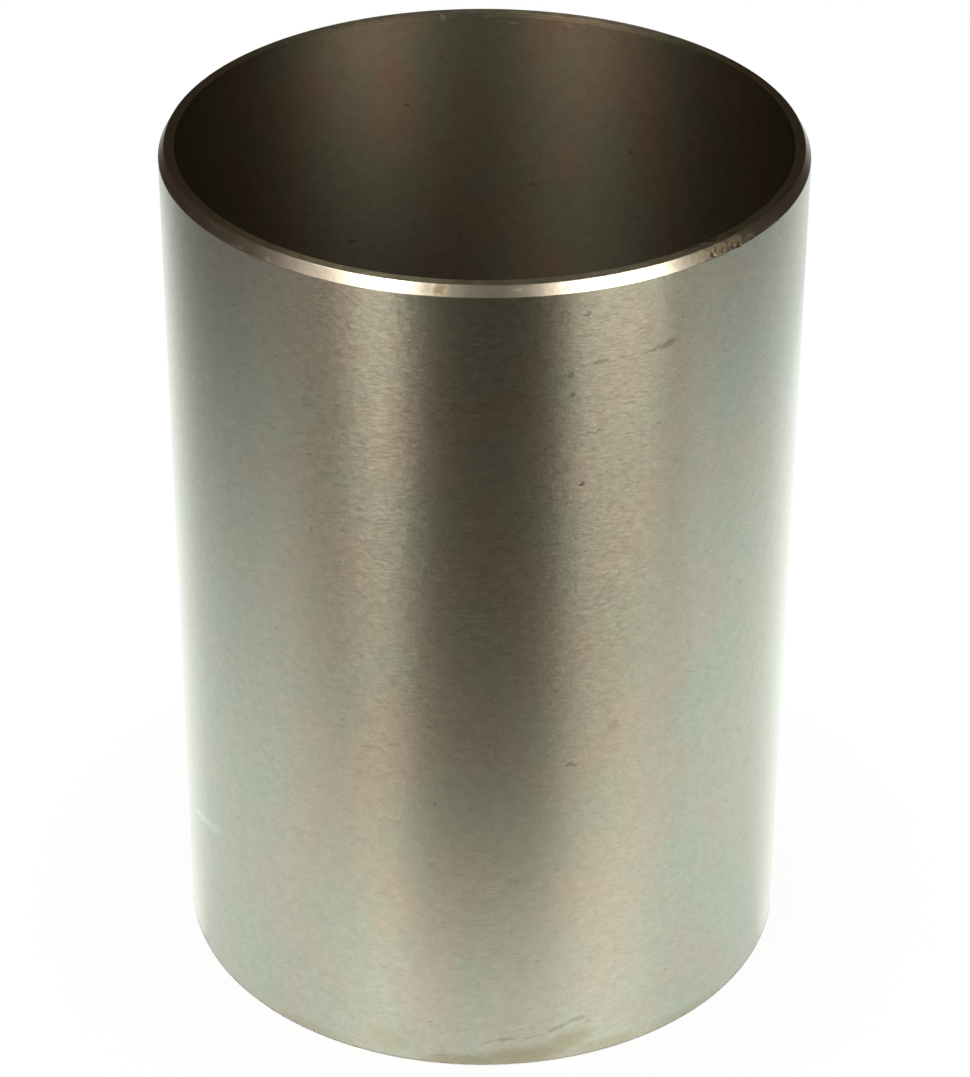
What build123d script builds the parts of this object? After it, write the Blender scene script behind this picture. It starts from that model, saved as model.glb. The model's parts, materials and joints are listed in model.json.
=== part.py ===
"""Dry cylinder liner: a plain sleeve turned from one casting of grey iron.

Millimetres. +Z runs up the bore, and the origin is the middle of the bottom face.
The liner stands on its plain end, with its lead-in end at the top.
"""

import os
from math import radians, tan

from build123d import *

# Driving dimensions
BORE_DIAMETER = 88.0
OUTER_DIAMETER = 93.5
LENGTH = 132.5

# Lead-in end: a long steep chamfer outside, so that the liner enters its hole in
# the block square, then a flat land, then a small chamfer that breaks the bore's mouth
LEAD_IN_HEIGHT = 1.5
LEAD_IN_ANGLE = 30.0  # degrees from the liner's axis
BORE_MOUTH_CHAMFER = 0.45

# Plain end: the same bore chamfer, and a fine edge break outside
OUTER_EDGE_BREAK = 0.25

# Worked out from the driving dimensions
bore_radius = BORE_DIAMETER / 2
outer_radius = OUTER_DIAMETER / 2
lead_in_depth = LEAD_IN_HEIGHT * tan(radians(LEAD_IN_ANGLE))

# The liner: the wall's section, turned once round the bore's axis.
# In the section's own sketch X is the radius and Y is the height.
with BuildPart() as liner:
    with BuildSketch(Plane.XZ) as wall_section:
        # The plain wall, from the bore out to the fit in the block
        with Locations((bore_radius, 0)):
            Rectangle(outer_radius - bore_radius, LENGTH, align=(Align.MIN, Align.MIN))

        # Lead-in chamfer, cut from the top outer corner down to the fit diameter
        with BuildLine():
            Polyline(
                (outer_radius, LENGTH),
                (outer_radius - lead_in_depth, LENGTH),
                (outer_radius, LENGTH - LEAD_IN_HEIGHT),
                close=True,
            )
        make_face(mode=Mode.SUBTRACT)

        # Both mouths of the bore are chamfered alike
        bore_corners = wall_section.vertices().group_by(Axis.X)[0]
        chamfer(bore_corners, length=BORE_MOUTH_CHAMFER)

        # The plain end's outer corner only has its sharp edge taken off
        plain_end_corner = wall_section.vertices().group_by(Axis.Y)[0].sort_by(Axis.X)[-1]
        chamfer(plain_end_corner, length=OUTER_EDGE_BREAK)
    revolve(axis=Axis.Z)

liner.part.label = "cylinder_liner"

os.makedirs("parts", exist_ok=True)
export_step(liner.part, "parts/cylinder_liner.step")
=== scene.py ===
"""Dry cylinder liner, dressed: a plain sleeve of grey cast iron, turned all over.

It stands on its plain end on a white studio sheet. Metres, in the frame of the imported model.
"""

import json
from math import atan2, ceil, cos, degrees, hypot, pi, radians, sin, tan

import bmesh
import bpy
from mathutils import Matrix, Vector, noise


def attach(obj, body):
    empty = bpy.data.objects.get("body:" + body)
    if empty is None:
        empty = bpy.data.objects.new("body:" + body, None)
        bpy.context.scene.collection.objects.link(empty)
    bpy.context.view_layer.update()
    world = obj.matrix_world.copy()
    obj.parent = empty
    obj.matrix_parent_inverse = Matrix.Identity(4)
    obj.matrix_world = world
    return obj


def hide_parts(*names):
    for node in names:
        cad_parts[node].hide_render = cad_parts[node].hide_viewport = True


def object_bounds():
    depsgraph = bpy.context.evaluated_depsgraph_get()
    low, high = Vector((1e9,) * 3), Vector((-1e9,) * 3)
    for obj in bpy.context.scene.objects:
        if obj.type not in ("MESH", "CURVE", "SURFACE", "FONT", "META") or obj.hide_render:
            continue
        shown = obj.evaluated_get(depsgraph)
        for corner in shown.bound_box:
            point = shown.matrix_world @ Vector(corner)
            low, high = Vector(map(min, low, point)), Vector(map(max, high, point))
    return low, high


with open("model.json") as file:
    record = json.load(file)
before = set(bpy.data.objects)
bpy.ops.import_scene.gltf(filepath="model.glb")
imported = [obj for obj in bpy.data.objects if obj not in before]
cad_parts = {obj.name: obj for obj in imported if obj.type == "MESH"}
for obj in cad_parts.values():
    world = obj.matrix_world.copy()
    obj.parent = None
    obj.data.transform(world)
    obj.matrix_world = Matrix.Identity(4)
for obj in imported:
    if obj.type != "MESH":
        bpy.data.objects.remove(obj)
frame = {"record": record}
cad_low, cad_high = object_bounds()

MM = 0.001

# The liner's own sizes, read from the frame
NODE = "cylinder_liner"
LENGTH = cad_high.z
OUTER_RADIUS = cad_high.x
BORE_RADIUS = next(
    m["dims"]["r_mm"] * MM for m in frame["record"]["mounts"] if m["name"] == "bore"
)

# Edges of the two ends, as they were turned
LEAD_IN_HEIGHT = 1.5 * MM
LEAD_IN_ANGLE = radians(30)
BORE_MOUTH_CHAMFER = 0.45 * MM
OUTER_EDGE_BREAK = 0.25 * MM
EDGE_ROUNDING = 0.05 * MM
LEAD_IN_DEPTH = LEAD_IN_HEIGHT * tan(LEAD_IN_ANGLE)

# Camera: where the lens stands, how it is turned, and its focal length and sensor in mm
CAMERA_PLACE = Vector((0, -470.97 * MM, 354.58 * MM))
CAMERA_PITCH = radians(31.596)
CAMERA_YAW = radians(0.032)
CAMERA_ROLL = radians(0.212)
CAMERA_LENS = 120.747
SENSOR_LONG_SIDE = 36.0


def linear(hex_colour):
    """An sRGB hex colour such as B5B4A5, as the linear RGBA that the nodes take."""
    channels = [int(hex_colour[i:i + 2], 16) / 255 for i in (0, 2, 4)]
    curve = [c / 12.92 if c <= 0.04045 else ((c + 0.055) / 1.055) ** 2.4 for c in channels]
    return (*curve, 1.0)


def add_node(tree, kind, settings=None, inputs=None):
    """Adds a node, sets its own settings, and sets or links each of its inputs."""
    node = tree.nodes.new(kind)
    for name, value in (settings or {}).items():
        setattr(node, name, value)
    for socket, value in (inputs or {}).items():
        if isinstance(value, bpy.types.NodeSocket):
            tree.links.new(value, node.inputs[socket])
        else:
            node.inputs[socket].default_value = value
    return node


def new_material(name):
    """An empty material and its node tree."""
    material = bpy.data.materials.new(name)
    material.use_nodes = True
    material.node_tree.nodes.clear()
    return material, material.node_tree


# ---------------------------------------------------------------- the liner's mesh

# The rim's facets are fine enough to hold its bruises, and elsewhere one row does for a stretch
SEGMENTS_ROUND = 1440
FINE_ROW = 0.16 * MM
LONG_ROW = LENGTH
RIM_DEPTH = 1.0 * MM

# Points this close are merged, edges that turn more than this are rounded, and a face whose
# normal stands more upright than this is on one of the flat ends
WELD = 1e-7
SHARP_EDGE = radians(20)
FLAT_END = 0.8

# A bruise's edge is ragged: by this share of its size, in a grain of this size
BRUISE_RAGGEDNESS = 0.45
BRUISE_GRAIN = 0.35 * MM

# Bruises that the rim has taken: angle from the lens side in degrees, radius and height in mm,
# half length along the rim and half width across it in mm, and depth in mm (below 0, a burr)
RIM_BRUISES = [
    # the crushed patch on the lead-in, with its burrs
    (40.6, 46.45, 131.70, 0.35, 0.30, 0.045),
    (41.9, 46.65, 131.35, 0.45, 0.30, 0.072),
    (42.9, 46.20, 132.10, 0.40, 0.28, 0.045),
    (44.0, 46.60, 131.45, 0.40, 0.30, 0.059),
    (44.9, 46.15, 132.20, 0.50, 0.25, -0.023),
    (45.6, 46.55, 131.50, 0.30, 0.35, 0.045),
    (46.6, 46.60, 131.30, 0.50, 0.30, 0.063),
    (47.9, 46.70, 131.10, 0.50, 0.35, 0.099),
    (48.9, 46.40, 131.75, 0.45, 0.25, -0.018),
    (49.7, 46.65, 131.30, 0.45, 0.30, 0.054),
    (50.6, 46.30, 131.95, 0.40, 0.30, 0.041),
    (51.6, 46.70, 131.15, 0.55, 0.25, 0.054),
    (54.9, 46.45, 131.80, 0.30, 0.30, 0.036),
    (56.9, 46.70, 131.10, 0.50, 0.20, 0.036),
    (60.2, 46.72, 131.05, 0.45, 0.18, 0.032),
    (64.0, 46.72, 131.05, 0.60, 0.18, 0.027),
    # small chips on the bore's mouth
    (61.6, 44.25, 132.40, 0.50, 0.30, 0.14),
    (65.2, 44.25, 132.40, 0.35, 0.25, 0.10),
    (56.4, 44.25, 132.40, 0.30, 0.22, 0.08),
    (43.6, 44.25, 132.40, 0.40, 0.25, 0.10),
    (23.5, 44.30, 132.40, 0.35, 0.20, 0.06),
    (-20.9, 44.30, 132.40, 0.40, 0.25, 0.09),
    (-23.2, 44.30, 132.40, 0.35, 0.25, 0.10),
    (-41.7, 44.30, 132.40, 0.35, 0.20, 0.06),
    (-65.9, 44.25, 132.40, 0.30, 0.20, 0.06),
    (-102.2, 44.60, 132.50, 0.55, 0.45, 0.10),
    (-115.4, 45.95, 132.40, 0.40, 0.25, 0.06),
    (-137.1, 44.20, 132.40, 0.40, 0.25, 0.10),
    (-148.4, 44.15, 132.35, 0.35, 0.25, 0.09),
    (-171.7, 44.10, 132.30, 0.55, 0.35, 0.14),
    (179.3, 44.10, 132.30, 0.40, 0.30, 0.12),
    (160.0, 44.15, 132.35, 0.45, 0.25, 0.08),
    (129.3, 45.90, 132.35, 0.45, 0.25, 0.07),
    (115.8, 44.20, 132.40, 0.45, 0.30, 0.12),
]


def wall_section():
    """Radius and height of the wall's section, from the bore's foot round, in fine rows at the rim."""
    foot = 0.0
    top = LENGTH
    corners = [
        (BORE_RADIUS, foot + BORE_MOUTH_CHAMFER, LONG_ROW),
        (BORE_RADIUS, top - BORE_MOUTH_CHAMFER - RIM_DEPTH, FINE_ROW),
        (BORE_RADIUS, top - BORE_MOUTH_CHAMFER, FINE_ROW),
        (BORE_RADIUS + BORE_MOUTH_CHAMFER, top, FINE_ROW),
        (OUTER_RADIUS - LEAD_IN_DEPTH, top, FINE_ROW),
        (OUTER_RADIUS, top - LEAD_IN_HEIGHT, FINE_ROW),
        (OUTER_RADIUS, top - LEAD_IN_HEIGHT - RIM_DEPTH, LONG_ROW),
        (OUTER_RADIUS, foot + OUTER_EDGE_BREAK, LONG_ROW),
        (OUTER_RADIUS - OUTER_EDGE_BREAK, foot, LONG_ROW),
        (BORE_RADIUS + BORE_MOUTH_CHAMFER, foot, LONG_ROW),
    ]
    points = []
    for (r0, z0, row), (r1, z1, _) in zip(corners, corners[1:] + corners[:1]):
        rows = ceil(hypot(r1 - r0, z1 - z0) / row)
        points += [(r0 + (r1 - r0) * i / rows, z0 + (z1 - z0) * i / rows) for i in range(rows)]
    return points


def bruise_rim(bm):
    """Pushes the rim in, or up, where something has knocked it."""
    bm.normal_update()
    # The rim's points are sorted by whole degrees, so that a bruise looks only at those near it
    by_degree = [[] for _ in range(360)]
    for v in bm.verts:
        if v.co.z > LENGTH - LEAD_IN_HEIGHT - RIM_DEPTH:
            v_angle = degrees(atan2(v.co.x, -v.co.y)) % 360
            by_degree[int(v_angle) % 360].append((v, v_angle, v.normal.copy()))
    for angle, radius, height, half_length, half_width, depth in RIM_BRUISES:
        near = [spot for step in range(-2, 3) for spot in by_degree[int(angle + step) % 360]]
        for v, v_angle, normal in near:
            off = (v_angle - angle + 180) % 360 - 180
            along = radians(off) * radius / half_length
            across = hypot(hypot(v.co.x, v.co.y) / MM - radius, v.co.z / MM - height) / half_width
            ragged = BRUISE_RAGGEDNESS * noise.noise(v.co / BRUISE_GRAIN)
            reach = 1 - min(1.0, max(0.0, hypot(along, across) + ragged)) ** 2
            v.co -= normal * depth * MM * reach ** 2


# The tool's cuts, numbered in the order of the liner's materials
TURNED, LEAD_IN, FACED, BORED = range(4)


def cut_of(face):
    """Which of the tool's cuts a face belongs to."""
    centre = face.calc_center_median()
    radius = hypot(centre.x, centre.y)
    if abs(face.normal.z) > FLAT_END:
        return FACED
    if radius < BORE_RADIUS + BORE_MOUTH_CHAMFER:
        return BORED
    if centre.z > LENGTH - LEAD_IN_HEIGHT:
        return LEAD_IN
    return TURNED


def turned_liner():
    """Spins the wall's section into the whole sleeve, breaks its edges and bruises its rim."""
    bm = bmesh.new()
    corners = [bm.verts.new((0, -radius, height)) for radius, height in wall_section()]
    for a, b in zip(corners, corners[1:] + corners[:1]):
        bm.edges.new((a, b))
    # A quarter is spun and mirrored twice, because a full spin in this many steps takes a minute
    bmesh.ops.spin(
        bm, geom=bm.verts[:] + bm.edges[:], cent=(0, 0, 0), axis=(0, 0, 1),
        angle=pi / 2, steps=SEGMENTS_ROUND // 4,
    )
    for axis in "XY":
        whole = bm.verts[:] + bm.edges[:] + bm.faces[:]
        bmesh.ops.mirror(bm, geom=whole, merge_dist=WELD, axis=axis)
    bmesh.ops.remove_doubles(bm, verts=bm.verts, dist=WELD)
    bmesh.ops.recalc_face_normals(bm, faces=bm.faces)
    sharp = [e for e in bm.edges if e.calc_face_angle(0) > SHARP_EDGE]
    bmesh.ops.bevel(
        bm, geom=sharp, offset=EDGE_ROUNDING, affect="EDGES", segments=2,
        profile=0.5, material=-1,
    )
    for face in bm.faces:
        face.smooth = True
        face.material_index = cut_of(face)
    bruise_rim(bm)
    mesh = bpy.data.meshes.new("turned_liner")
    bm.to_mesh(mesh)
    bm.free()
    piece = bpy.data.objects.new("turned_liner", mesh)
    bpy.context.scene.collection.objects.link(piece)
    weighted = piece.modifiers.new("flat_faces", "WEIGHTED_NORMAL")
    weighted.keep_sharp = True
    weighted.weight = 100
    return piece


# ---------------------------------------------------------------- finishes

# Patterns on the iron: the size of one grain in mm, round the axis and along it.
# Flakes of graphite are 0.1 to 0.3 mm in the real iron: they are drawn as coarser specks that show.
MOTTLE_SIZE = (11, 17)
WAVE_SIZE = (1.7, 1.2)
GRAIN_SIZE = (0.50, 0.36)
GRAPHITE_SIZE = (1.3, 0.32)

# The values between which each pattern goes from its least to its most
MOTTLE_RANGE = (0.40, 0.60)
LAY_RANGE = (0.30, 0.70)
TONE_RANGE = (0.85, 1.55)

# How much the waves and the lay's streaks weigh in the shade, where the grain weighs 1
WAVE_WEIGHT = 0.8
STREAK_WEIGHT = 0.6

# Graphite: colour, how strongly it darkens the metal, and how softly its specks end
GRAPHITE = "4A463C"
GRAPHITE_STRENGTH = 0.32
GRAPHITE_SOFTNESS = 0.05

# The edges of marks stray by this much, in patches of this size in mm,
# and a mark is full within this share of its oval and fades towards its edge
RAGGED_REACH = 0.45 * MM
RAGGED_SIZE = (1.1, 0.6)
RAGGED_RANGE = (0.2, 0.8)
MARK_CORE = 0.35

# A film of oil, and the turn of the glint that sets its long side across the lay
OIL_ROUGHNESS = 0.22
QUARTER_TURN = 0.25


def unrolled(tree, place, radius, across):
    """The wall laid flat, in metres: length round it from the lens side, then height or radius."""
    parts = add_node(tree, "ShaderNodeSeparateXYZ", None, {0: place}).outputs
    front = add_node(
        tree, "ShaderNodeMath", {"operation": "MULTIPLY"}, {0: parts["Y"], 1: -1.0},
    ).outputs[0]
    angle = add_node(
        tree, "ShaderNodeMath", {"operation": "ARCTAN2"}, {0: parts["X"], 1: front},
    ).outputs[0]
    length = add_node(
        tree, "ShaderNodeMath", {"operation": "MULTIPLY"}, {0: angle, 1: radius},
    ).outputs[0]
    side = parts["Z"]
    if across == "radius":
        flat = add_node(
            tree, "ShaderNodeVectorMath", {"operation": "MULTIPLY"}, {0: place, 1: (1, 1, 0)},
        ).outputs[0]
        side = add_node(
            tree, "ShaderNodeVectorMath", {"operation": "LENGTH"}, {0: flat},
        ).outputs["Value"]
    return add_node(tree, "ShaderNodeCombineXYZ", None, {"X": length, "Y": side}).outputs[0]


def patches(tree, sheet, radius, spots):
    """How much of a stain or mark lies on each point, from a list of soft ovals."""
    total = 0.0
    for angle, across, half_length, half_width, tilt, amount in spots:
        oval = add_node(
            tree, "ShaderNodeMapping", {"vector_type": "TEXTURE"},
            {
                "Vector": sheet,
                "Location": (radians(angle) * radius, across * MM, 0),
                "Rotation": (0, 0, radians(tilt)),
                "Scale": (half_length * MM, half_width * MM, 1),
            },
        ).outputs[0]
        away = add_node(
            tree, "ShaderNodeVectorMath", {"operation": "LENGTH"}, {0: oval},
        ).outputs["Value"]
        inside = add_node(
            tree, "ShaderNodeMapRange", {"interpolation_type": "SMOOTHSTEP"},
            {"Value": away, "From Min": 1.0, "From Max": MARK_CORE, "To Min": 0.0, "To Max": amount},
        ).outputs[0]
        total = add_node(
            tree, "ShaderNodeMath", {"operation": "MAXIMUM"}, {0: inside, 1: total},
        ).outputs[0]
    return total


def pattern(tree, place, size, detail):
    """Noise with a grain of the given size in mm, round the axis and along it."""
    grain = add_node(
        tree, "ShaderNodeMapping", None,
        {"Vector": place, "Scale": (1 / (size[0] * MM), 1 / (size[0] * MM), 1 / (size[1] * MM))},
    ).outputs[0]
    return add_node(
        tree, "ShaderNodeTexNoise", None, {"Vector": grain, "Scale": 1.0, "Detail": detail},
    ).outputs["Fac"]


def between(tree, value, low, high, to_low, to_high):
    """A value taken from one range to another, held at its ends."""
    return add_node(
        tree, "ShaderNodeMapRange", None,
        {"Value": value, "From Min": low, "From Max": high, "To Min": to_low, "To Max": to_high},
    ).outputs[0]


def cut_colour(tree, place, tints, lay, streaks, waves, grain):
    """The bare metal's colour: two faint tints, streaks of the lay, and specks of graphite."""
    mottle = pattern(tree, place, MOTTLE_SIZE, 2.0)
    colour = add_node(
        tree, "ShaderNodeMix", {"data_type": "RGBA"},
        {
            "Factor": between(tree, mottle, *MOTTLE_RANGE, 0.0, 1.0),
            "A": linear(tints[0]), "B": linear(tints[1]),
        },
    ).outputs["Result"]
    tone = add_node(
        tree, "ShaderNodeMath", {"operation": "MULTIPLY_ADD"}, {0: waves, 1: WAVE_WEIGHT, 2: grain},
    ).outputs[0]
    tone = add_node(
        tree, "ShaderNodeMath", {"operation": "MULTIPLY_ADD"}, {0: streaks, 1: STREAK_WEIGHT, 2: tone},
    ).outputs[0]
    shade = between(tree, tone, *TONE_RANGE, 1 - lay["contrast"], 1 + lay["contrast"])
    colour = add_node(
        tree, "ShaderNodeVectorMath", {"operation": "SCALE"}, {0: colour, "Scale": shade},
    ).outputs[0]
    flakes = pattern(tree, place, GRAPHITE_SIZE, 1.0)
    graphite = between(
        tree, flakes, lay["specks"], lay["specks"] + GRAPHITE_SOFTNESS, 0.0, GRAPHITE_STRENGTH,
    )
    return add_node(
        tree, "ShaderNodeMix", {"data_type": "RGBA"},
        {"Factor": graphite, "A": colour, "B": linear(GRAPHITE)},
    ).outputs["Result"]


def machined_iron(name, tints, lay, finish, marks, radius, across="height"):
    """Grey cast iron as a cutting tool leaves it, with the tool's lay running round the axis."""
    material, tree = new_material(name)
    place = add_node(tree, "ShaderNodeTexCoord").outputs["Object"]
    streaks = pattern(tree, place, (lay["length"], lay["width"]), 1.0)
    waves = pattern(tree, place, WAVE_SIZE, 1.0)
    grain = pattern(tree, place, GRAIN_SIZE, 2.0)
    colour = cut_colour(tree, place, tints, lay, streaks, waves, grain)
    smoothest = finish["roughness"] - lay["unevenness"]
    roughest = finish["roughness"] + lay["unevenness"]
    rough = between(tree, streaks, *LAY_RANGE, smoothest, roughest)

    wobble = pattern(tree, place, RAGGED_SIZE, 2.0)
    shift = between(tree, wobble, *RAGGED_RANGE, -RAGGED_REACH, RAGGED_REACH)
    sheet = unrolled(tree, place, radius, across)
    sheet = add_node(tree, "ShaderNodeVectorMath", None, {0: sheet, 1: shift}).outputs[0]
    for tint, spots, roughening in marks:
        amount = patches(tree, sheet, radius, spots)
        colour = add_node(
            tree, "ShaderNodeMix", {"data_type": "RGBA"},
            {"Factor": amount, "A": colour, "B": linear(tint)},
        ).outputs["Result"]
        rough = add_node(
            tree, "ShaderNodeMath", {"operation": "MULTIPLY_ADD"},
            {0: amount, 1: roughening, 2: rough},
        ).outputs[0]

    relief = add_node(tree, "ShaderNodeMath", {"operation": "ADD"}, {0: waves, 1: grain}).outputs[0]
    bump = add_node(
        tree, "ShaderNodeBump", None,
        {"Strength": 1.0, "Distance": lay["depth"] * MM, "Height": relief},
    ).outputs[0]
    round_axis = add_node(
        tree, "ShaderNodeVectorMath", {"operation": "CROSS_PRODUCT"}, {0: (0, 0, 1), 1: place},
    ).outputs[0]
    shader = add_node(
        tree, "ShaderNodeBsdfPrincipled", None,
        {
            "Base Color": colour, "Metallic": 1.0, "Roughness": rough, "Normal": bump,
            "Anisotropic": finish["anisotropic"], "Anisotropic Rotation": QUARTER_TURN,
            "Tangent": round_axis,
            "Specular Tint": (finish["edge"], finish["edge"], finish["edge"], 1.0),
            "Coat Weight": finish["film"], "Coat Roughness": OIL_ROUGHNESS,
        },
    ).outputs[0]
    add_node(tree, "ShaderNodeOutputMaterial", None, {"Surface": shader})
    return material


# Marks, as soft ovals: angle from the lens side in degrees, height in mm (on the flat land, radius),
# half length and half width in mm, tilt in degrees, and strength

RUB_MARKS = [
    (32.2, 120.3, 2.6, 0.62, 3, 0.46), (29.2, 120.0, 2.7, 0.36, 0, 0.42),
    (19.7, 120.0, 2.0, 0.34, 0, 0.42), (24.6, 120.0, 3.2, 0.22, 0, 0.22),
    (14.4, 118.5, 0.90, 0.50, 0, 0.58), (14.9, 115.5, 0.65, 0.50, 10, 0.52),
    (14.2, 116.9, 0.35, 0.80, 0, 0.20), (17.4, 127.7, 0.60, 0.45, -30, 0.58),
    (16.7, 128.6, 0.30, 0.25, 0, 0.35), (16.8, 101.2, 0.52, 0.42, 0, 0.80),
    (19.8, 109.3, 2.3, 0.16, 2, 0.48), (22.4, 106.4, 0.35, 0.25, 0, 0.30),
    (22.9, 129.4, 0.35, 0.25, 0, 0.35), (26.2, 129.0, 0.28, 0.24, 0, 0.35),
    (23.8, 59.8, 1.5, 1.4, 0, 0.24), (16.0, 54.4, 1.6, 0.34, -3, 0.48),
    (15.0, 62.5, 1.4, 0.20, 0, 0.24), (5.9, 47.0, 1.2, 0.22, 0, 0.26),
    (5.4, 34.4, 1.7, 0.26, 0, 0.24), (-8.4, 48.2, 0.34, 0.34, 0, 0.42),
    (-20.2, 56.5, 2.6, 0.24, 6, 0.18), (-26.5, 58.9, 1.9, 0.18, -8, 0.16),
    (-31.0, 91.0, 0.30, 0.80, -15, 0.34), (-27.3, 79.4, 0.34, 0.26, 0, 0.36),
    (-24.9, 73.6, 0.50, 0.25, 0, 0.30), (16.1, 92.6, 0.30, 0.26, 0, 0.30),
    (-38.5, 46.0, 0.70, 0.30, 20, 0.18), (44.5, 63.5, 0.50, 0.22, 0, 0.24),
    (39.0, 70.0, 0.40, 0.20, 0, 0.22), (-52.0, 33.0, 1.1, 0.6, 30, 0.14),
    (128.0, 84.0, 2.4, 0.24, 0, 0.26), (-142.0, 66.0, 0.45, 0.40, 0, 0.40),
    (172.0, 104.0, 0.40, 0.34, 0, 0.40), (-118.0, 110.0, 1.8, 0.20, 3, 0.24),
    (151.0, 37.0, 1.3, 0.26, 0, 0.24), (-96.0, 44.0, 0.36, 0.30, 0, 0.32),
]
BRIGHT_SCRATCHES = [
    (-68.0, 24.9, 6.0, 0.90, 17, 0.6), (-61.5, 26.4, 4.0, 1.40, 17, 0.4),
    (-45.8, 92.7, 1.6, 0.22, -20, 0.35), (-14.6, 97.0, 2.2, 0.16, 0, 0.30),
    (-17.5, 113.0, 1.5, 0.14, 2, 0.30), (12.0, 76.0, 1.6, 0.12, 0, 0.22),
    (-13.0, 32.0, 1.8, 0.14, 0, 0.24), (58.0, 118.0, 1.4, 0.14, -5, 0.24),
    (140.0, 58.0, 2.0, 0.16, 8, 0.30),
]
FOOT_STAINS = [
    (-3.0, 0.9, 9.0, 1.7, 0, 0.55), (8.0, 1.6, 10.0, 2.2, 3, 0.60), (16.5, 3.4, 5.0, 2.4, 10, 0.55),
    (24.0, 1.0, 8.0, 1.5, 0, 0.40), (-17.5, 3.2, 5.6, 3.2, 0, 0.28),
    (-13.0, 5.6, 2.4, 2.0, 0, 0.15), (42.0, 0.8, 9.0, 1.2, 0, 0.25),
    (-34.0, 0.8, 9.0, 1.2, 0, 0.25), (96.0, 1.4, 9.0, 1.8, 0, 0.4),
    (-120.0, 1.2, 10.0, 1.6, 0, 0.4), (168.0, 2.2, 7.0, 2.2, 4, 0.4),
]
FOOT_TIDE_LINES = [
    (4.6, 4.9, 2.6, 0.34, 4, 0.34), (9.6, 5.0, 2.2, 0.32, 3, 0.36),
    (14.0, 6.1, 2.4, 0.55, 16, 0.38), (18.0, 7.2, 1.9, 0.60, 6, 0.36),
    (20.3, 6.4, 1.0, 0.7, -40, 0.3), (1.2, 4.4, 1.5, 0.35, 20, 0.28),
    (-18.0, 8.1, 3.6, 0.22, 2, 0.18),
]
LEAD_IN_DIRT = [
    (-7.3, 131.75, 1.25, 1.05, 0, 0.75), (-9.4, 131.9, 1.1, 0.8, 0, 0.35),
    (39.6, 131.7, 1.9, 0.8, 0, 0.60), (43.4, 131.8, 2.0, 0.9, 0, 0.78),
    (47.6, 131.7, 2.3, 0.9, 0, 0.78), (37.0, 131.3, 1.2, 0.35, 0, 0.4),
    (51.5, 131.4, 1.6, 0.5, 0, 0.5), (5.2, 131.9, 1.3, 0.22, -20, 0.30),
    (13.6, 131.7, 0.5, 0.20, 50, 0.30), (-46.0, 131.25, 1.6, 0.30, 4, 0.45),
    (-38.5, 131.2, 1.3, 0.25, -6, 0.40), (-33.0, 131.2, 1.0, 0.22, 0, 0.35),
    (-53.0, 132.1, 2.2, 0.28, 0, 0.40), (-29.5, 131.25, 0.9, 0.20, 8, 0.30),
    (-60.0, 131.4, 2.0, 0.35, 0, 0.35), (58.0, 131.25, 3.0, 0.30, 0, 0.4),
    (-128.0, 131.6, 2.6, 0.6, 0, 0.5), (156.0, 131.7, 2.2, 0.7, 0, 0.5),
]
LEAD_IN_TICKS = [
    (-4.3, 131.85, 0.16, 0.45, 15, 0.55), (-0.2, 131.85, 0.18, 0.55, 25, 0.65),
    (2.4, 131.6, 0.6, 0.14, 0, 0.40), (-1.6, 131.7, 0.9, 0.12, 0, 0.35),
]
LEAD_IN_PITS = [
    (41.4, 131.5, 0.40, 0.50, 20, 0.85), (42.6, 131.9, 0.25, 0.45, -25, 0.75),
    (44.0, 131.4, 0.45, 0.28, 0, 0.80), (45.4, 131.9, 0.50, 0.16, 30, 0.70),
    (46.4, 131.5, 0.55, 0.30, -10, 0.80), (48.0, 131.2, 0.55, 0.40, 0, 0.90),
    (49.6, 131.8, 0.50, 0.20, 25, 0.70), (50.6, 131.3, 0.50, 0.25, 0, 0.75),
    (52.6, 131.2, 0.60, 0.18, 0, 0.65),
]
LAND_DIRT = [
    (43.6, 44.9, 1.6, 0.42, 0, 0.75), (38.5, 44.8, 2.6, 0.34, 0, 0.65),
    (33.0, 44.75, 2.4, 0.28, 0, 0.5), (47.5, 45.3, 1.6, 0.5, 0, 0.45),
    (27.0, 44.7, 2.4, 0.24, 0, 0.35), (-21.0, 44.8, 2.6, 0.25, 0, 0.30),
    (121.0, 45.4, 5.0, 0.6, 0, 0.35), (66.0, 45.6, 4.5, 0.5, 0, 0.30),
]
LAND_CHIPS = [
    (61.6, 44.62, 0.65, 0.24, 0, 0.8), (65.2, 44.66, 0.50, 0.20, 0, 0.65),
    (56.4, 44.66, 0.35, 0.16, 0, 0.5), (-102.2, 45.0, 0.65, 0.55, 0, 0.55),
    (-23.2, 44.72, 0.45, 0.16, 0, 0.5), (-20.9, 44.70, 0.45, 0.16, 0, 0.5),
    (23.5, 44.72, 0.5, 0.14, 0, 0.4), (-65.9, 44.66, 0.35, 0.16, 0, 0.4),
    (115.8, 44.66, 0.5, 0.25, 0, 0.5), (-72.0, 44.64, 0.22, 0.16, 0, 0.6),
    (-58.5, 44.64, 0.25, 0.14, 0, 0.5), (-49.0, 44.64, 0.6, 0.14, 0, 0.55),
    (-37.0, 44.64, 0.7, 0.13, 0, 0.45), (-30.5, 44.66, 0.4, 0.14, 0, 0.4),
    (48.0, 44.64, 0.5, 0.14, 0, 0.4),
]
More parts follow.
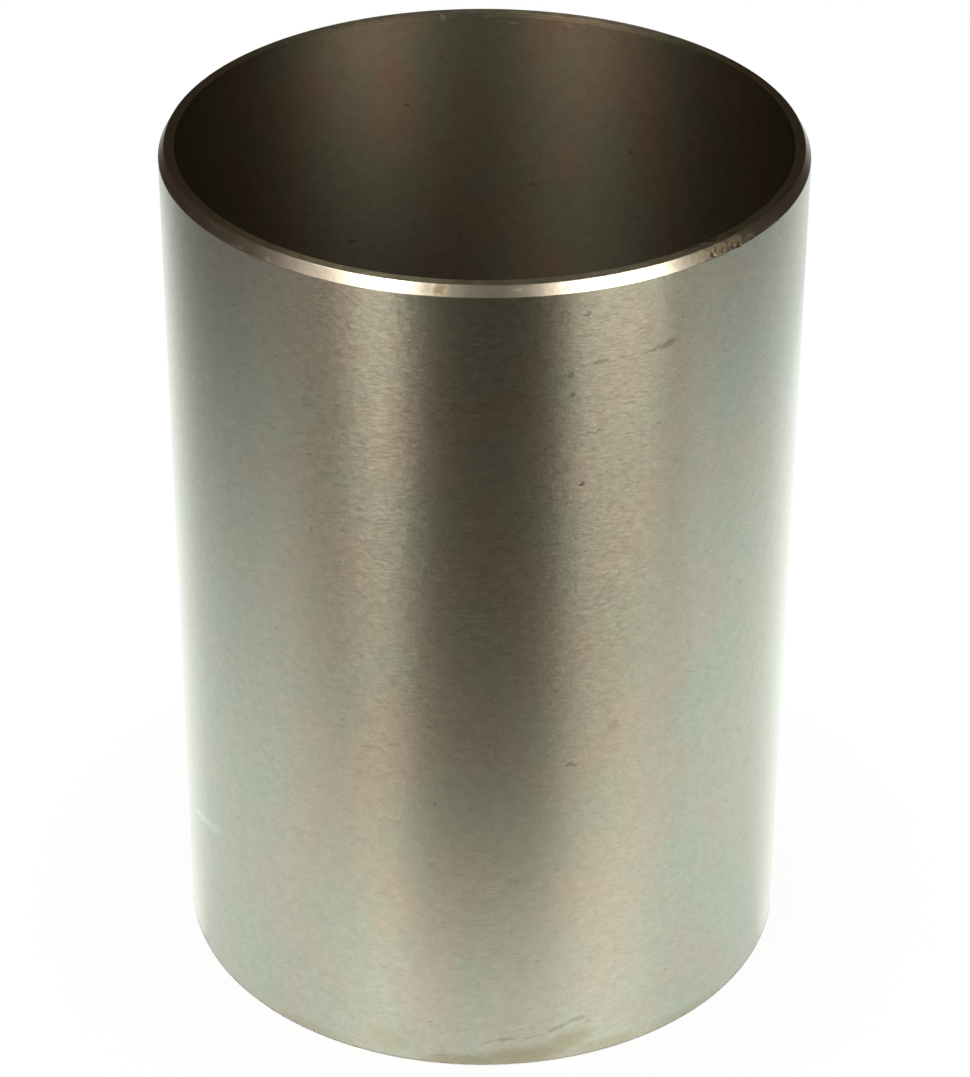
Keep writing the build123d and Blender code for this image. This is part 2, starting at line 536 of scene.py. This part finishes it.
BORE_CHIPS = [
    (-171.7, 131.9, 0.75, 0.45, 0, 0.55), (-172.2, 131.5, 0.30, 0.40, 0, 0.5),
    (179.3, 131.8, 0.35, 0.45, 0, 0.5), (174.4, 131.2, 1.6, 0.22, 8, 0.35),
    (170.2, 131.5, 1.1, 0.18, -6, 0.3), (163.0, 131.4, 1.2, 0.30, 10, 0.3),
    (-137.1, 131.9, 0.5, 0.30, 0, 0.3), (-148.4, 131.9, 0.5, 0.30, 0, 0.3),
    (160.0, 131.7, 0.8, 0.22, 0, 0.3), (115.8, 131.9, 0.5, 0.30, 0, 0.3),
]
BORE_SPECKS = [
    (-164.0, 118.0, 0.5, 0.4, 0, 0.5), (-152.0, 96.0, 1.2, 0.25, 0, 0.4),
    (170.0, 104.0, 0.4, 0.4, 0, 0.5), (158.0, 88.0, 0.6, 0.3, 0, 0.5),
    (-175.0, 76.0, 0.5, 0.5, 0, 0.45), (149.0, 112.0, 0.5, 0.45, 0, 0.5),
    (178.0, 63.0, 1.6, 0.3, 0, 0.3), (-158.0, 62.0, 0.6, 0.5, 0, 0.4),
    (164.0, 70.0, 0.5, 0.4, 0, 0.4),
]


def liner_finishes():
    """One finish for each cut, in the order of the cuts' numbers.

    A lay gives the length and width of its streaks in mm, how far roughness strays either way,
    the depth of the relief in mm, how far the shade strays, and the noise above which graphite
    shows. A finish gives its roughness, how far it draws out a glint, how bright it is edge-on,
    and its film of oil. Each kind of mark has its colour, its places and how much it roughens.
    """
    # Finish-turned outside: satin under a film of oil. Its fine lay draws each light out into an
    # upright streak, and it has stray rub marks, a few bright scratches and a stained foot.
    # The lay is 0.1 mm or finer on the real wall, drawn two to three times as coarse so that it shows.
    turned = machined_iron(
        "finish_turned_grey_iron", ("CED3C1", "D6D0BF"),
        {
            "length": 1.1, "width": 0.25, "unevenness": 0.030, "depth": 0.016,
            "contrast": 0.10, "specks": 0.71,
        },
        {"roughness": 0.35, "anisotropic": 0.9, "edge": 1.0, "film": 1.0},
        [
            ("6A6255", RUB_MARKS, 0.05),
            ("B5A77C", FOOT_STAINS, 0.06),
            ("8C855F", FOOT_TIDE_LINES, 0.08),
            ("F7F6EC", BRIGHT_SCRATCHES, 0.0),
        ],
        OUTER_RADIUS,
    )
    # Chamfered lead-in: a coarser cut, so it throws back broad bright glints. It is knocked and
    # dirty on one side.
    lead_in = machined_iron(
        "chamfered_grey_iron", ("E6E4D4", "EAE4D6"),
        {
            "length": 1.6, "width": 0.30, "unevenness": 0.006, "depth": 0.008,
            "contrast": 0.06, "specks": 0.73,
        },
        {"roughness": 0.31, "anisotropic": 0.2, "edge": 1.0, "film": 0.0},
        [
            ("8D8255", LEAD_IN_DIRT, 0.28),
            ("F4F2E8", LEAD_IN_TICKS, 0.0),
            ("554E3A", LEAD_IN_PITS, 0.15),
        ],
        OUTER_RADIUS,
    )
    # Faced end: dull, browned by handling, its lay in rings.
    faced = machined_iron(
        "faced_grey_iron", ("D4DAC1", "DAD5BA"),
        {
            "length": 2.0, "width": 0.25, "unevenness": 0.03, "depth": 0.014,
            "contrast": 0.08, "specks": 0.73,
        },
        {"roughness": 0.43, "anisotropic": 0.75, "edge": 1.0, "film": 0.0},
        [
            ("7A6C3A", LAND_DIRT, 0.05),
            ("C9C5AF", LAND_CHIPS, 0.05),
        ],
        OUTER_RADIUS, "radius",
    )
    # Bored inside: brown-grey and far darker than the outside, a colour that paints in the deep bore's
    # shade, with a soft sheen and hardly a glint.
    bored = machined_iron(
        "bored_iron_painted_dark", ("797969", "857665"),
        {
            "length": 2.4, "width": 0.30, "unevenness": 0.03, "depth": 0.012,
            "contrast": 0.10, "specks": 0.73,
        },
        {"roughness": 0.60, "anisotropic": 0.7, "edge": 0.45, "film": 0.0},
        [
            ("3A352C", BORE_SPECKS, 0.05),
            ("A9A78F", BORE_CHIPS, 0.05),
        ],
        BORE_RADIUS,
    )
    return [turned, lead_in, faced, bored]


# ---------------------------------------------------------------- the studio

# The lights, as linear colours
WHITE = (1.0, 1.0, 1.0, 1.0)
ROOM = (0.029, 0.0195, 0.0132, 1.0)
SHEET_LIGHT = (0.95, 1.0, 0.95, 1.0)
FRONT_LIGHT = (1.0, 0.87, 0.72, 1.0)
WARM = (1.0, 0.89, 0.79)

# The sheet: half its width in metres, and the paper's colour
SHEET_HALF_WIDTH = 4.0
PAPER = "E8E8E6"

# The metal sees the sheet as a painted glow: one broad soft strip of light that fades into a dim warm
# room, ends in front of the liner and is a little dimmer at its foot, where the liner's shade is
# painted in
STRIP_CENTRE = 37 * MM
STRIP_REACH = 234 * MM
STRIP_SHARPNESS = 5.5
SHEET_FRONT = -98 * MM
SHEET_FRONT_FADE = 32 * MM
FOOT_REACH = 60 * MM
FOOT_DIMMED = 0.85

# Close to the foot a little of the bare paper shows, and with it the liner's shadow
SHADOW_REACH = 30 * MM
SHADOW_CLEAR = 0.95

# The light panel lies on the sheet. Its light spreads on either side as a fan from FAN_CENTRE, fades
# out between two slopes, begins beside the liner, and ends between two distances from FAR_CENTRE.
PANEL_WIDTH = 420 * MM
PANEL_FRONT = -15.5 * MM
PANEL_BACK = 334.5 * MM
PANEL_LIFT = 0.5 * MM
PANEL_LIGHT = (1.0, 1.0, 0.96)
PANEL_RADIANCE = 0.35
FAN_CENTRE = Vector((43 * MM, -17 * MM, 0))
FAN_EDGES = (1.30, 0.45)
FAN_START = OUTER_RADIUS * 0.8
FAR_CENTRE = Vector((-60 * MM, 0, 0))
FAR_EDGES = (238 * MM, 268 * MM)

# Softboxes: angle from the lens side in degrees, distance, height of the lower edge above the sheet,
# width and height, all in metres, and radiance
SOFTBOXES = {
    "left_softbox": (-34.5, 0.45, 0.15, 0.125, 0.50, 5.2),
    "left_fill": (-55, 0.45, 0.15, 0.17, 0.15, 0.6),
    "left_high_softbox": (-50, 0.50, 0.50, 0.33, 0.40, 4.2),
    "right_softbox": (44, 0.45, 0.15, 0.26, 0.31, 5.25),
}

# The lamp overhead is square, its size and height in metres
OVERHEAD_SIZE = 1.0
OVERHEAD_HEIGHT = 1.6
OVERHEAD_LIGHT = (1.0, 1.0, 1.0)
OVERHEAD_RADIANCE = 5.0


def sheet_glow(tree, place, radius):
    """What the metal sees on the sheet, painted as a glow: a strip of light, warmer in front, with
    painted shade at the liner's foot, and the room beside it.
    """
    parts = add_node(tree, "ShaderNodeSeparateXYZ", None, {0: place}).outputs
    aside = add_node(
        tree, "ShaderNodeMath", {"operation": "SUBTRACT"}, {0: parts["X"], 1: STRIP_CENTRE},
    ).outputs[0]
    aside = add_node(tree, "ShaderNodeMath", {"operation": "ABSOLUTE"}, {0: aside}).outputs[0]
    reach = add_node(
        tree, "ShaderNodeMath", {"operation": "DIVIDE"}, {0: aside, 1: STRIP_REACH},
    ).outputs[0]
    fall = add_node(
        tree, "ShaderNodeMath", {"operation": "POWER"}, {0: reach, 1: STRIP_SHARPNESS},
    ).outputs[0]
    fall = add_node(tree, "ShaderNodeMath", {"operation": "ADD"}, {0: fall, 1: 1.0}).outputs[0]
    strip = add_node(tree, "ShaderNodeMath", {"operation": "DIVIDE"}, {0: 1.0, 1: fall}).outputs[0]
    behind_front = add_node(
        tree, "ShaderNodeMapRange", {"interpolation_type": "SMOOTHSTEP"},
        {
            "Value": parts["Y"],
            "From Min": SHEET_FRONT - SHEET_FRONT_FADE, "From Max": SHEET_FRONT + SHEET_FRONT_FADE,
        },
    ).outputs[0]
    lit = add_node(
        tree, "ShaderNodeMath", {"operation": "MULTIPLY"}, {0: strip, 1: behind_front},
    ).outputs[0]
    # Painted shade: the glow dims towards the liner's foot
    by_foot = between(tree, radius, OUTER_RADIUS, OUTER_RADIUS + FOOT_REACH, FOOT_DIMMED, 1.0)
    lit = add_node(tree, "ShaderNodeMath", {"operation": "MULTIPLY"}, {0: lit, 1: by_foot}).outputs[0]
    sheet = add_node(
        tree, "ShaderNodeMix", {"data_type": "RGBA"},
        {
            "Factor": between(tree, parts["Y"], SHEET_FRONT, SHEET_FRONT / 2, 0.0, 1.0),
            "A": FRONT_LIGHT, "B": SHEET_LIGHT,
        },
    ).outputs["Result"]
    return add_node(
        tree, "ShaderNodeMix", {"data_type": "RGBA"}, {"Factor": lit, "A": ROOM, "B": sheet},
    ).outputs["Result"]


def white_sheet():
    """Pale paper that the lens sees as white outside the liner, and that still takes its shadow."""
    material, tree = new_material("white_sheet")
    place = add_node(tree, "ShaderNodeTexCoord").outputs["Object"]
    rays = add_node(tree, "ShaderNodeLightPath").outputs
    radius = add_node(
        tree, "ShaderNodeVectorMath", {"operation": "LENGTH"}, {0: place},
    ).outputs["Value"]
    outside = add_node(
        tree, "ShaderNodeMath", {"operation": "GREATER_THAN"}, {0: radius, 1: OUTER_RADIUS},
    ).outputs[0]
    shown = add_node(
        tree, "ShaderNodeMix", {"data_type": "RGBA"},
        {"Factor": rays["Is Camera Ray"], "A": sheet_glow(tree, place, radius), "B": WHITE},
    ).outputs["Result"]
    paper = add_node(tree, "ShaderNodeBsdfDiffuse", None, {"Color": linear(PAPER)}).outputs[0]
    glow = add_node(tree, "ShaderNodeEmission", None, {"Color": shown, "Strength": 1.0}).outputs[0]
    either = add_node(
        tree, "ShaderNodeMath", {"operation": "MAXIMUM"},
        {0: rays["Is Camera Ray"], 1: rays["Is Glossy Ray"]},
    ).outputs[0]
    share = add_node(
        tree, "ShaderNodeMath", {"operation": "MULTIPLY"}, {0: either, 1: outside},
    ).outputs[0]
    clear = between(tree, radius, OUTER_RADIUS, OUTER_RADIUS + SHADOW_REACH, SHADOW_CLEAR, 1.0)
    share = add_node(tree, "ShaderNodeMath", {"operation": "MULTIPLY"}, {0: share, 1: clear}).outputs[0]
    both = add_node(tree, "ShaderNodeMixShader", None, {0: share, 1: paper, 2: glow}).outputs[0]
    add_node(tree, "ShaderNodeOutputMaterial", None, {"Surface": both})
    return material


def studio_floor():
    """A wide sheet that the liner stands on."""
    bm = bmesh.new()
    bmesh.ops.create_grid(bm, x_segments=1, y_segments=1, size=SHEET_HALF_WIDTH)
    mesh = bpy.data.meshes.new("studio_floor")
    bm.to_mesh(mesh)
    bm.free()
    mesh.materials.append(white_sheet())
    floor = bpy.data.objects.new("studio_floor", mesh)
    bpy.context.scene.collection.objects.link(floor)


def studio_world():
    """White where the lens looks, a dim warm room where the metal looks."""
    world = bpy.data.worlds.new("studio_room")
    bpy.context.scene.world = world
    world.use_nodes = True
    tree = world.node_tree
    tree.nodes.clear()
    rays = add_node(tree, "ShaderNodeLightPath")
    colour = add_node(
        tree, "ShaderNodeMix", {"data_type": "RGBA"},
        {"Factor": rays.outputs["Is Camera Ray"], "A": ROOM, "B": WHITE},
    ).outputs["Result"]
    light = add_node(tree, "ShaderNodeBackground", None, {"Color": colour, "Strength": 1.0}).outputs[0]
    add_node(tree, "ShaderNodeOutputWorld", None, {"Surface": light})


def area_lamp(name, width, height, radiance, colour):
    """A soft rectangular lamp of a given radiance that the lens doesn't see."""
    lamp = bpy.data.lights.new(name, "AREA")
    lamp.shape = "RECTANGLE"
    lamp.size = width
    lamp.size_y = height
    lamp.energy = radiance * pi * width * height
    lamp.color = colour
    box = bpy.data.objects.new(name, lamp)
    bpy.context.scene.collection.objects.link(box)
    box.visible_camera = False
    return box


def softboxes():
    """Tall soft lamps that stand upright round the liner and face it."""
    for name, (angle, distance, foot, width, height, radiance) in SOFTBOXES.items():
        azimuth = radians(angle)
        box = area_lamp(name, width, height, radiance, WARM)
        box.location = (distance * sin(azimuth), -distance * cos(azimuth), foot + height / 2)
        box.rotation_euler = (pi / 2, 0, azimuth)


def overhead_softbox():
    """A wide lamp high over the liner that lights the sheet and the bore, and leaves no glint."""
    box = area_lamp("overhead_softbox", OVERHEAD_SIZE, OVERHEAD_SIZE, OVERHEAD_RADIANCE, OVERHEAD_LIGHT)
    box.location = (0, 0, OVERHEAD_HEIGHT)
    box.visible_glossy = False


def rim_panel():
    """A light panel lying on the sheet: it fans out behind the liner and lights its two limbs."""
    panel = area_lamp("rim_panel", PANEL_WIDTH, PANEL_BACK - PANEL_FRONT, PANEL_RADIANCE, PANEL_LIGHT)
    panel.location = (0, (PANEL_FRONT + PANEL_BACK) / 2, PANEL_LIFT)
    panel.rotation_euler = (pi, 0, 0)
    panel.data.use_nodes = True
    tree = panel.data.node_tree
    tree.nodes.clear()
    place = add_node(tree, "ShaderNodeNewGeometry").outputs["Position"]
    parts = add_node(tree, "ShaderNodeSeparateXYZ", None, {0: place}).outputs
    aside = add_node(tree, "ShaderNodeMath", {"operation": "ABSOLUTE"}, {0: parts["X"]}).outputs[0]
    beyond = add_node(
        tree, "ShaderNodeMath", {"operation": "SUBTRACT"}, {0: aside, 1: FAN_CENTRE.x},
    ).outputs[0]
    behind = add_node(
        tree, "ShaderNodeMath", {"operation": "SUBTRACT"}, {0: parts["Y"], 1: FAN_CENTRE.y},
    ).outputs[0]
    slope = add_node(tree, "ShaderNodeMath", {"operation": "DIVIDE"}, {0: beyond, 1: behind}).outputs[0]
    fan = between(tree, slope, *FAN_EDGES, 0.0, 1.0)
    beside = between(tree, aside, FAN_START, OUTER_RADIUS, 0.0, 1.0)
    fan = add_node(tree, "ShaderNodeMath", {"operation": "MULTIPLY"}, {0: fan, 1: beside}).outputs[0]
    away = add_node(
        tree, "ShaderNodeVectorMath", {"operation": "DISTANCE"}, {0: place, 1: FAR_CENTRE},
    ).outputs["Value"]
    near = between(tree, away, *FAR_EDGES, 1.0, 0.0)
    fan = add_node(tree, "ShaderNodeMath", {"operation": "MULTIPLY"}, {0: fan, 1: near}).outputs[0]
    radius = add_node(
        tree, "ShaderNodeVectorMath", {"operation": "LENGTH"}, {0: place},
    ).outputs["Value"]
    outside = add_node(
        tree, "ShaderNodeMath", {"operation": "GREATER_THAN"}, {0: radius, 1: OUTER_RADIUS},
    ).outputs[0]
    fan = add_node(tree, "ShaderNodeMath", {"operation": "MULTIPLY"}, {0: fan, 1: outside}).outputs[0]
    glow = add_node(tree, "ShaderNodeEmission", None, {"Strength": fan}).outputs[0]
    add_node(tree, "ShaderNodeOutputLight", None, {"Surface": glow})


def place_camera():
    """The lens, pitched down, with the sensor's small yaw and roll."""
    forward = Vector((
        sin(CAMERA_YAW) * cos(CAMERA_PITCH), cos(CAMERA_YAW) * cos(CAMERA_PITCH), -sin(CAMERA_PITCH),
    ))
    level_right = forward.cross(Vector((0, 0, 1))).normalized()
    level_up = level_right.cross(forward)
    right = level_right * cos(CAMERA_ROLL) + level_up * sin(CAMERA_ROLL)
    up = level_up * cos(CAMERA_ROLL) - level_right * sin(CAMERA_ROLL)
    data = bpy.data.cameras.new("lens")
    data.lens = CAMERA_LENS
    data.sensor_width = SENSOR_LONG_SIDE
    data.clip_start = 0.01
    data.clip_end = 20
    camera = bpy.data.objects.new("lens", data)
    bpy.context.scene.collection.objects.link(camera)
    turn = Matrix((right, up, -forward)).transposed()
    camera.matrix_world = Matrix.Translation(CAMERA_PLACE) @ turn.to_4x4()
    bpy.context.scene.camera = camera


liner = turned_liner()
for finish in liner_finishes():
    liner.data.materials.append(finish)
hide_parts(NODE)
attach(liner, "root")

studio_floor()
studio_world()
softboxes()
overhead_softbox()
rim_panel()
place_camera()
bpy.context.scene.view_settings.view_transform = "Standard"
